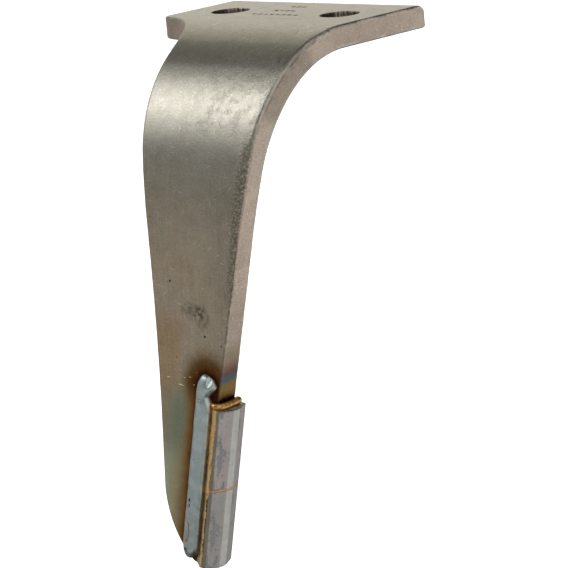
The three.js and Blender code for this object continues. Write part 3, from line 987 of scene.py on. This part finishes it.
def flecks_and_scratches(look, bar, s):
    flecks = bar.scaled((1.0, 0.6, 1.0), 25).cells(0.42).span(0.11, 0.04) * bar.noise(0.09).span(0.5, 0.6)
    scratches = 0.0
    for turn, narrowness in ((28, 0.045), (-52, 0.06), (80, 0.05), (-8, 0.05), (50, 0.09)):
        line = bar.scaled((0.6, narrowness, 0.45), turn).cells(1.0).span(0.11, 0.05)
        scratches = look.maths("MAXIMUM", line, scratches)
    scratches = scratches * bar.noise(0.07).span(0.40, 0.56, 0.25, 1.0)
    bright = look.maths("MULTIPLY", look.maths("MAXIMUM", flecks, scratches), 0.85, True)
    return bright * s.near(84, 25.5).span(0, 0.8, 1.0, 0.2)


def stained(look, bar, colour, outer):
    """Smudges, grease spots and pits."""
    x, s, _ = bar.split()
    smudge = spot(x, s, (17.5, 198.4), (10, 5.5)) + spot(x, s, (24.5, 201), (6, 8))
    smudge = smudge * bar.noise(0.4, 4, 0.65).span(0.35, 0.6)
    colour = look.mix(look.maths("MULTIPLY", smudge, 0.7, True) * outer, colour, seen(72, 66, 56))
    specks = ((3.0, 184.6, 0.9), (25.8, 210.3, 1.0), (5.5, 222.8, 1.0), (37.0, 214.0, 0.7))
    for speck_x, speck_s, reach in specks:
        speck = spot(x, s, (speck_x, speck_s), (reach, reach))
        colour = look.mix(speck * outer, colour, seen(52, 42, 34))
    pits = bar.cells(0.33).span(0.13, 0.05) * bar.noise(0.06).span(0.5, 0.62)
    return look.mix(pits * 0.75, colour, (0.06, 0.05, 0.04))


def rolled_edge(look, bar, colour, outer, wall):
    """Dark and speckled along the blade, with painted shade as a dark line at the face's rim, and drawn lines
    in the bend.
    """
    _, s, t = bar.split()
    from_right = look.attribute("from_right")
    rolled = s.wobbled(bar, 0.3, 4).span(104, 122) * s.wobbled(bar, 0.3, 6).span(200, 176)
    inset = from_right.wobbled(bar, 0.5, 1.8, 3) + s.span(140, 172, 0.0, 2.8)
    rolled = rolled * inset.span(8.0, 4.4) * outer * (1.0 - wall)
    dark = bar.noise(1.0, 4, 0.75).ramp([
        (0.32, seen(50, 48, 40)), (0.46, seen(82, 78, 67)),
        (0.58, seen(108, 102, 88)), (0.70, seen(180, 172, 150)),
    ])
    colour = look.mix(rolled * 0.8, colour, dark)
    # Painted shade: a dark line along the outer face's rounded rim, left out in the bend where the rim
    # catches light.
    rim = from_right.span(1.0, 0.5) * t.span(1.3, 0.7) * outer * bar.noise(0.5, 3).span(0.38, 0.56)
    colour = look.mix(rim * s.near(78, 34).span(0.0, 0.5, 0.5, 0.0), colour, (0.09, 0.075, 0.06))
    drawn = bar.scaled((1.3, 0.05, 1.0), 4).noise(1.0).span(0.60, 0.68)
    drawn = drawn * from_right.span(26, 10) * s.near(58, 21.2) * outer
    return look.mix(drawn * 0.7, colour, (0.13, 0.12, 0.10)), rolled


def punched(look, bar, colour, hole):
    """The holes' walls, drawn brown and bright by turns and painted with shade towards their ends, and the
    marks' floors painted dark as shade.
    """
    x, s, t = bar.split()
    drawn = bar.scaled((0.75, 0.75, 0.05)).noise(1.0, 4, 0.7).ramp([
        (0.3, (0.06, 0.04, 0.03)), (0.44, (0.16, 0.12, 0.09)), (0.52, (0.42, 0.35, 0.30)),
        (0.60, (0.80, 0.72, 0.66)), (0.68, (0.9, 0.84, 0.78)),
    ])
    # Painted shade: the walls are made darker towards each hole's two ends, inside the hole.
    from_middle = abs(abs(x) - HOLE_X)
    drawn = look.mix(from_middle.span(6.6, 9.4, 0.0, 0.9), drawn, (0.07, 0.05, 0.04))
    colour = look.mix(hole * t.span(0.06, 0.3), colour, drawn)
    # Painted shade: the punched marks' floors and walls are painted dark.
    mark_floor_shade = t.span(0.03, 0.08) * abs(x).span(27, 25) * abs(s + 6).span(25, 23) * t.span(6, 4)
    return look.mix(mark_floor_shade * 0.92, colour, (0.05, 0.035, 0.025))


def tempered(look, bar, colour, light):
    """The heat's colours: beside the bead, round its head and across the leading edge above the tip; their
    darkest parts by the bead's head and the braze fillet are painted shade.
    """
    tip_x, tip_y, tip_z = look.attribute("tip", "Vector").split()
    toned = (light - 1.0) * 0.6 + 1.0
    toe = (TOE_X - tip_x).wobbled(bar, 0.16, 1.6, 3)
    side = toe.ramp([
        (0, seen(42, 24, 9)), (1.2, seen(62, 37, 13)), (3.0, seen(86, 58, 27)), (5.0, seen(94, 76, 50)),
        (7.5, seen(98, 90, 69)), (10.0, seen(93, 96, 79)), (13.5, seen(90, 97, 82)),
        (18.0, seen(103, 101, 84)), (23.0, seen(112, 102, 83)), (30.0, seen(119, 102, 78)),
    ])
    low_down = tip_z.wobbled(bar, 0.06, 6).span(-24, -46)
    side = look.mix(low_down * toe.span(5, 11), side, toe.ramp([
        (5, seen(106, 92, 64)), (10, seen(116, 106, 80)), (14, seen(113, 116, 94)), (20, seen(128, 128, 106)),
    ]))
    # Round the bead's head: heat colours, and in the near-black middle painted shade in the pocket between
    # the bead, the blade and the tip.
    ring = length(tip_x + 3.2, (tip_z - 6.0) * 0.92).wobbled(bar, 0.22, 1.8, 4) * 0.98
    head = ring.ramp([
        (0, seen(30, 14, 5)), (8.0, seen(40, 19, 8)), (10.5, seen(68, 40, 14)), (13.0, seen(72, 54, 32)),
        (15.5, seen(92, 76, 56)), (19.0, seen(104, 91, 73)), (24.0, seen(114, 103, 87)),
    ])
    left = tip_x.wobbled(bar, 0.1, 3).span(-20, -28) * tip_z.wobbled(bar, 0.07, 6).span(44, 26)
    colour = look.mix(left * 0.8, colour, look.shaded(seen(119, 101, 77), light))
    colour = look.mix(ring.span(23, 14), colour, head.shaded(light))
    colour = look.mix(tip_z.wobbled(bar, 0.08, 3).span(6, -9), colour, side.shaded(toned))
    # Heat colours up the leading edge; the darkest stops, just above the braze fillet, are painted shade in
    # the crevice there.
    rise = (tip_z - tip_y * 0.16).wobbled(bar, 0.25, 1.3, 3)
    heat_and_crevice_shade = rise.ramp([(place, seen(*paint, WALL_LIGHT)) for place, paint in (
        (0, (22, 13, 6)), (3.2, (44, 28, 12)), (5.0, (98, 76, 38)), (8.5, (128, 100, 58)),
        (11.5, (112, 98, 66)), (13.5, (78, 90, 92)), (15.0, (82, 88, 98)), (17.0, (98, 74, 74)),
        (19.5, (116, 92, 78)), (24.0, (140, 124, 106)), (34.0, (150, 136, 119)),
    )])
    on_edge = look.attribute("from_right").span(1.1, 0.4) * rise.span(34, 26) * tip_z.span(-2, -1)
    return look.mix(on_edge, colour, heat_and_crevice_shade.shaded(toned))


def steel_relief(look, bar, outer, rolled):
    """Grain everywhere, creases in the bend, the sheared walls' grain and the rolled edge's rags."""
    x, s, _ = bar.split()
    relief = look.bump(bar.noise(1.1, 2, 0.6) + bar.noise(0.7, 2, 0.6) * 0.6, 0.05, 0.85)
    zone = s.span(46, 66) * s.wobbled(bar, 0.2, 5).span(118, 104) * x.wobbled(bar, 0.07, 14).span(2, 28)
    folded = bar.scaled((1.1, 0.36, 1.0), 34).noise(1.0, 2, 0.55, 0.3)
    crossed = bar.scaled((1.0, 0.28, 1.0), 4).noise(1.0, 2, 0.55, 0.3)
    creases = look.maths("MINIMUM", abs(folded - 0.5).span(0.0, 0.11), abs(crossed - 0.5).span(0.0, 0.09))
    creases = (creases - 1.0) * zone * outer * bar.noise(0.16).span(0.44, 0.58)
    relief = look.bump(creases, 0.04, 0.9, relief)
    relief = look.bump(sheared_grain(bar), 0.12, 0.5, relief)
    return look.bump(bar.noise(1.1, 3, 0.7) * rolled, 0.45, 0.8, relief)


def forged_steel():
    look = Look("forged_steel")
    bar = look.attribute("bar", "Vector")
    _, s, t = bar.split()
    wall, hole = look.attribute("wall"), look.attribute("hole")
    outer = t.span(6.0, 4.0)
    colour, light = bare_steel(look, bar, wall)
    colour = stained(look, bar, colour, outer)
    bright = flecks_and_scratches(look, bar, s)
    colour = look.mix(bright, colour, (0.86, 0.82, 0.72))
    colour, rolled = rolled_edge(look, bar, colour, outer, wall)
    colour = punched(look, bar, colour, hole)
    look.set("Base Color", tempered(look, bar, colour, light))
    roughness = (bar.noise(0.3, 3) - 0.5) * 0.12 + 0.33
    roughness = roughness - s.near(84, 25.5) * 0.05 + hole * 0.16 + wall * 0.08
    roughness = roughness + rolled * 0.12 - bright * 0.12
    look.set("Roughness", roughness)
    look.set("Normal", steel_relief(look, bar, outer, rolled))
    return look.material


def carbide(name, offset, pink):
    """Sintered grey with blue shores and dark blots; the offset gives each plate its own pattern."""
    look = Look(name)
    tip = look.attribute("tip", "Vector")
    place = look.node("Mapping", {"Vector": tip, "Location": (0, 0, offset)})
    _, y, _ = tip.split()
    patch = place.scaled((0.8, 0.9, 0.5)).noise(0.16, 4, 0.6, 0.4)
    shore = patch + y.span(-3.0, -9.0, 0.0, 0.10)
    colour = look.mix(shore.span(0.60, 0.56), (0.31, 0.325, 0.31), pink)
    colour = look.mix(shore.span(0.57, 0.60) * shore.span(0.66, 0.60) * 0.4, colour, (0.17, 0.19, 0.195))
    blots = place.noise(0.42, 5, 0.7).span(0.55, 0.66) * place.noise(0.13).span(0.40, 0.56)
    colour = look.mix(blots * 0.6, colour, (0.16, 0.18, 0.185))
    colour = look.mix(abs(y).span(2.5, 2.0) * 0.85, colour, (0.54, 0.54, 0.50))
    colour = look.mix(abs(y).span(9.0, 9.15) * 0.75, colour, (0.31, 0.265, 0.20))
    light = grained(place, [(1.9, 0.24, 3), (0.7, 0.2, 3), (0.2, 0.2, 3)])
    pits = place.cells(0.5).span(0.13, 0.05)
    look.set("Base Color", colour.shaded(light * (1.0 - pits * 0.5)))
    look.set("Roughness", patch.span(0.4, 0.6, 0.38, 0.46))
    relief = look.bump(place.noise(1.8, 3, 0.6), 0.05, 0.5)
    look.set("Normal", look.bump(place.noise(0.35), 0.25, 0.5, relief))
    return look.material


def brazed(name, colour, dark, roughness, dark_share=0.5, grain=1.0):
    look = Look(name)
    tip = look.attribute("tip", "Vector")
    stain = tip.noise(0.5, 4, 0.65).span(dark_share, dark_share + 0.14)
    light = grained(tip, [(1.4, 0.25 * grain, 3), (0.5, 0.4, 3)])
    look.set("Base Color", look.mix(stain * 0.7, colour, dark).shaded(light))
    look.set("Roughness", tip.noise(0.9, 3).span(0.35, 0.65, roughness - 0.06, roughness + 0.1))
    look.set("Normal", look.bump(tip.noise(0.9), 0.10 * grain, 0.5))
    return look.material


def carrier_steel():
    look = Look("carrier_steel")
    tip = look.attribute("tip", "Vector")
    scale = tip.scaled((1, 1, 0.5)).noise(0.6, 4, 0.65)
    colour = look.mix(scale.span(0.4, 0.62), seen(98, 91, 74), seen(134, 126, 106))
    rust = tip.noise(0.25, 3).span(0.52, 0.64)
    colour = look.mix(rust * 0.55, colour, seen(92, 68, 38))
    look.set("Base Color", colour.shaded(grained(tip, [(1.8, 0.35, 3)])))
    look.set("Roughness", scale.span(0.35, 0.65, 0.42, 0.6))
    look.set("Normal", look.bump(tip.noise(1.2, 4, 0.65), 0.16, 0.7))
    return look.material


def weld_metal(name):
    look = Look(name)
    tip = look.attribute("tip", "Vector")
    x, _, z = tip.split()
    across = look.attribute("across")
    colour = look.mix(tip.noise(0.2, 3).span(0.4, 0.62), (0.485, 0.58, 0.57), (0.585, 0.67, 0.655))
    light = grained(tip, [(2.0, 0.2, 3), (0.5, 0.16, 3)]) * z.span(-78, 0, 0.84, 1.06)
    lap_edge = across.wobbled(tip, 0.5, 0.1).span(0.72, 0.98)
    colour = look.mix(lap_edge * 0.7, colour, seen(112, 104, 88))
    toe_edge = across.wobbled(tip, 0.6, 0.04).span(-0.93, -1.0)
    colour = look.mix(toe_edge * 0.8, colour, seen(70, 60, 45))
    pits = tip.cells(0.24).span(0.10, 0.05) * tip.noise(0.1).span(0.5, 0.6)
    colour = look.mix(pits, colour, (0.03, 0.03, 0.03))
    # Painted shade: the craters' pits are painted near black.
    for place, reach, paint in (
        ((-5.2, -52.0), (0.7, 1.5), (0.04, 0.04, 0.04)), ((-5.0, -54.9), (0.6, 1.4), (0.07, 0.06, 0.05)),
        ((-5.0, -79.5), (1.2, 1.6), (0.01, 0.01, 0.01)),
    ):
        colour = look.mix(spot(x, z, place, reach), colour, paint)
    # The last crater has painted shade on its inner lip and, on its right, a copper crescent that is partly a
    # painted highlight on the rim.
    ring = length((x + 5.0) * (1 / 1.7), (z + 69.5) * (1 / 6.2))
    lip_shade = ring.span(0.62, 0.74) * ring.span(0.92, 0.82) * x.span(-5.6, -4.4)
    colour = look.mix(lip_shade * 0.9, colour, (0.06, 0.06, 0.06))
    copper_and_highlight = ring.span(0.80, 0.92) * ring.span(1.18, 1.02) * (x + tip.noise(0.5)).span(-5.2, -4.2)
    colour = look.mix(copper_and_highlight * 0.95, colour, (0.80, 0.46, 0.28))
    colour = look.mix(look.attribute("spatter"), colour, (0.90, 0.60, 0.34))
    look.set("Base Color", colour.shaded(light))
    look.set("Roughness", tip.noise(0.6, 3).span(0.35, 0.65, 0.28, 0.42))
    look.set("Normal", look.bump(tip.noise(1.0, 3, 0.6), 0.08, 0.5))
    return look.material


tip_pieces = [carrier, plate_upper, plate_lower, braze_upper, braze_lower, seam_piece, collar]
for piece in tip_pieces + [bead_outer, bead_inner]:
    store(piece, "tip", to_tip(mesh_points(piece)))

GOLD, BURNT = (0.95, 0.63, 0.27), (0.40, 0.25, 0.10)
SEAM_COPPER, SEAM_BURNT = (0.60, 0.36, 0.19), (0.40, 0.27, 0.16)
COLLAR_COPPER, COLLAR_BURNT = (0.70, 0.39, 0.13), (0.26, 0.13, 0.05)
for piece, look, slot, nodes in (
    (body, forged_steel(), "forged_steel", ["tine_body"]),
    (carrier, carrier_steel(), "carrier_steel", ["tip_carrier"]),
    (plate_upper, carbide("carbide_upper", 0.0, (0.43, 0.385, 0.365)), "carbide", ["carbide_plate_upper"]),
    (plate_lower, carbide("carbide_lower", 40.0, (0.375, 0.355, 0.335)), "carbide", ["carbide_plate_lower"]),
    (braze_upper, brazed("braze_layer_a", GOLD, BURNT, 0.4), "braze", ["braze_layer_upper"]),
    (braze_lower, brazed("braze_layer_b", GOLD, BURNT, 0.42, 0.46), "braze", ["braze_layer_lower"]),
    (seam_piece, brazed("braze_seam", SEAM_COPPER, SEAM_BURNT, 0.4), "braze", ["braze_seam_between"]),
    (
        collar, brazed("braze_fillet", COLLAR_COPPER, COLLAR_BURNT, 0.24, 0.44, 0.3),
        "braze", ["braze_fillet_top"],
    ),
    (bead_outer, weld_metal("weld_outer"), "weld_metal", ["weld_bead_outer"]),
    (bead_inner, weld_metal("weld_inner"), "weld_metal", ["weld_bead_inner"]),
):
    piece.data.materials.clear()
    piece.data.materials.append(look)
    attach(piece, "root")
    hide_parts(*nodes)


# ---------------------------------------------------------------- floor, light and camera
ROOM = 0.012
LOBES = [
    # direction, sharpness and strength, one number where it is grey
    ((-0.687, 0.655, 0.314), 11.0, (0.85, 0.82, 0.72)),
    ((-0.62, -0.66, -0.42), 7.4, 0.53),
    ((-0.675, -0.435, 0.597), 25.5, 2.58),
    ((0.64, 0.69, -0.34), 7.4, 0.83),
    ((-0.149, 0.924, -0.352), 7.4, 0.48),
    ((0.887, -0.017, -0.463), 7.4, 0.68),
    ((0.62, -0.70, -0.05), 5.0, 0.44),
    ((0.0, -0.95, -0.30), 8.0, 0.18),
    ((0.50, 0.16, 0.81), 7.4, 0.6),
    ((0.69, -0.45, 0.50), 8.0, 0.6),
    ((-0.97, 0.20, -0.15), 10.0, 0.45),
    ((0.0, -0.35, 0.94), 14.0, 0.40),
]


def studio():
    """White to the camera; to the metal, a dim room with soft lamps round it."""
    world = bpy.data.worlds.new("studio")
    bpy.context.scene.world = world
    world.use_nodes = True
    world.node_tree.nodes.clear()
    sky = Nodes(world.node_tree)
    direction = sky.node("TexCoord", {}, "Generated")
    total = (ROOM,) * 3
    for toward, sharpness, strength in LOBES:
        toward = Vector(toward).normalized()
        facing = sky.node("VectorMath", {0: direction, 1: toward}, "Value", operation="DOT_PRODUCT")
        lamp = sky.maths("EXPONENT", (facing - 1.0) * sharpness)
        paint = strength if isinstance(strength, tuple) else (strength,) * 3
        total = sky.node("VectorMath", {0: lamp, 1: paint, 2: total}, operation="MULTIPLY_ADD")
    room = sky.node("Background", {"Color": total})
    white = sky.node("Background", {"Color": (1.0, 1.0, 1.0)})
    to_camera = sky.node("LightPath", {}, "Is Camera Ray")
    mixed = sky.node("MixShader", {0: to_camera, 1: room, 2: white})
    sky.node("OutputWorld", {"Surface": mixed}, ())


FLOOR_HALF = 6000.0
FLOOR_Z = -600.0
FLOOR_STEPS = 24


def floor():
    """A pale sheet that only the camera sees."""
    line = np.linspace(-FLOOR_HALF, FLOOR_HALF, FLOOR_STEPS + 1)
    n = FLOOR_STEPS + 1
    corners = [i * n + j for i in range(FLOOR_STEPS) for j in range(FLOOR_STEPS)]
    faces = [(k, k + 1, k + n + 1, k + n) for k in corners]
    obj = new_object("floor", [(x, y, FLOOR_Z) for y in line for x in line], faces)
    look = Look("floor_paper", 0.0)
    look.set("Base Color", (0.9, 0.9, 0.9))
    look.set("Roughness", 0.9)
    look.set("Emission Color", (1.0, 1.0, 1.0))
    look.set("Emission Strength", 1.0)
    obj.data.materials.append(look.material)
    obj.visible_glossy = False
    obj.visible_diffuse = False


studio()
floor()

EYE = (0.85157, -0.90047, 0.16167)
VIEW_RIGHT = (0.7316, 0.6756, -0.0909)
VIEW_UP = (-0.0978, 0.2361, 0.9668)
VIEW_BACK = (0.6747, -0.6984, 0.2388)
camera = bpy.data.cameras.new("camera")
camera.sensor_width = 36
camera.lens = 153.2
camera.clip_start, camera.clip_end = 0.05, 50
eye = bpy.data.objects.new("camera", camera)
bpy.context.scene.collection.objects.link(eye)
turned = Matrix((VIEW_RIGHT, VIEW_UP, VIEW_BACK)).transposed().to_4x4()
eye.matrix_world = Matrix.Translation(EYE) @ turned
bpy.context.scene.camera = eye
bpy.context.scene.view_settings.view_transform = "Standard"
